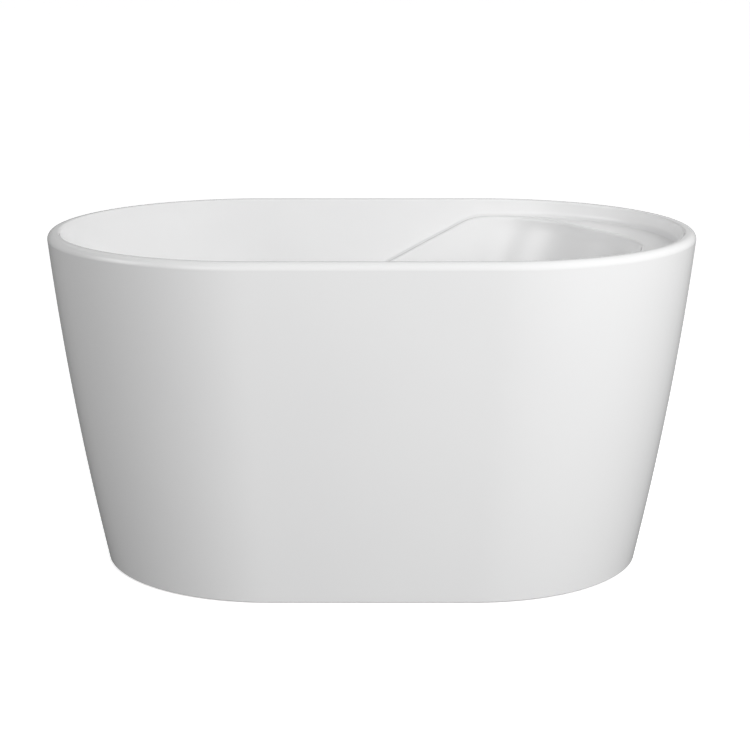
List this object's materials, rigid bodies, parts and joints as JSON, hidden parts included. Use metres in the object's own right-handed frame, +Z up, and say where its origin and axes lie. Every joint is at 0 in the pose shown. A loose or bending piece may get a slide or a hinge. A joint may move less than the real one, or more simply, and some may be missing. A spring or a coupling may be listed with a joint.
{
  "type": "freestanding bathtub",
  "caption": "Oval double-walled freestanding soaking bathtub with a sloped backrest, head ledge, lift-up waste, slim overflow and levelling feet.",
  "frame": {"origin": "centre of the footprint, on the floor under the levelling feet", "axes": "+X along the tub to the backrest end, +Y to the rear long side, +Z up"},
  "size_m": [1.2, 0.764, 0.626],
  "materials": {
    "acrylic": "high gloss white acrylic",
    "bonding_paste": "cured bonding paste",
    "plywood": "bare plywood",
    "painted_tube": "black paint on square steel tube",
    "black_plastic": "matt black moulding",
    "zinc_steel": "zinc plated",
    "chrome": "polished",
    "brass": "machined",
    "seal_rubber": "matt",
    "white_pipe": "satin white pipe"
  },
  "bodies": {
    "tub": {"basin": "acrylic", "skirt": "acrylic", "rim_bond": "bonding_paste", "basin_board": "plywood", "base_flange": "plywood", "frame_rail_front": "painted_tube", "frame_rail_rear": "painted_tube", "frame_cross_toe": "painted_tube", "frame_cross_middle": "painted_tube", "frame_cross_seat": "painted_tube", "frame_cross_back": "painted_tube", "rail_end_caps": "black_plastic", "support_blocks_front": "plywood", "support_blocks_rear": "plywood", "support_blocks_middle": "plywood", "skirt_brackets_front": "zinc_steel", "skirt_brackets_rear": "zinc_steel", "bracket_screws": "zinc_steel", "foot_bosses": "painted_tube", "foot_lock_nuts": "zinc_steel", "drain_body": "chrome", "drain_gasket": "seal_rubber", "drain_washer": "seal_rubber", "drain_nut": "brass", "waste_tee": "white_pipe", "tee_ring": "seal_rubber", "outlet_pipe": "white_pipe", "outlet_washer": "seal_rubber", "outlet_nut": "white_pipe", "overflow_cover": "chrome", "overflow_screw": "chrome", "overflow_gasket": "seal_rubber", "overflow_body": "white_pipe", "overflow_pipe_upper": "white_pipe", "overflow_elbow": "white_pipe", "overflow_pipe_lower": "white_pipe", "overflow_nut_top": "white_pipe", "overflow_nut_low": "white_pipe"},
    "stopper": {"stopper_cap": "chrome", "stopper_seal": "seal_rubber", "stopper_post": "brass", "stopper_spring": "zinc_steel"},
    "foot_1": {"foot_pad_1": "black_plastic", "foot_stud_1": "zinc_steel"},
    "foot_2": {"foot_pad_2": "black_plastic", "foot_stud_2": "zinc_steel"},
    "foot_3": {"foot_pad_3": "black_plastic", "foot_stud_3": "zinc_steel"},
    "foot_4": {"foot_pad_4": "black_plastic", "foot_stud_4": "zinc_steel"},
    "foot_5": {"foot_pad_5": "black_plastic", "foot_stud_5": "zinc_steel"}
  },
  "joints": [
    {"name": "stopper_lift", "type": "slide", "parent": "tub", "child": "stopper", "axis": [0, 0, 1], "range_m": [0, 0.01], "deforming": ["stopper_spring"]},
    {"name": "foot_1_height", "type": "slide", "parent": "tub", "child": "foot_1", "axis": [0, 0, -1], "range_m": [0, 0.02]},
    {"name": "foot_2_height", "type": "slide", "parent": "tub", "child": "foot_2", "axis": [0, 0, -1], "range_m": [0, 0.02]},
    {"name": "foot_3_height", "type": "slide", "parent": "tub", "child": "foot_3", "axis": [0, 0, -1], "range_m": [0, 0.02]},
    {"name": "foot_4_height", "type": "slide", "parent": "tub", "child": "foot_4", "axis": [0, 0, -1], "range_m": [0, 0.02]},
    {"name": "foot_5_height", "type": "slide", "parent": "tub", "child": "foot_5", "axis": [0, 0, -1], "range_m": [0, 0.02]}
  ]
}
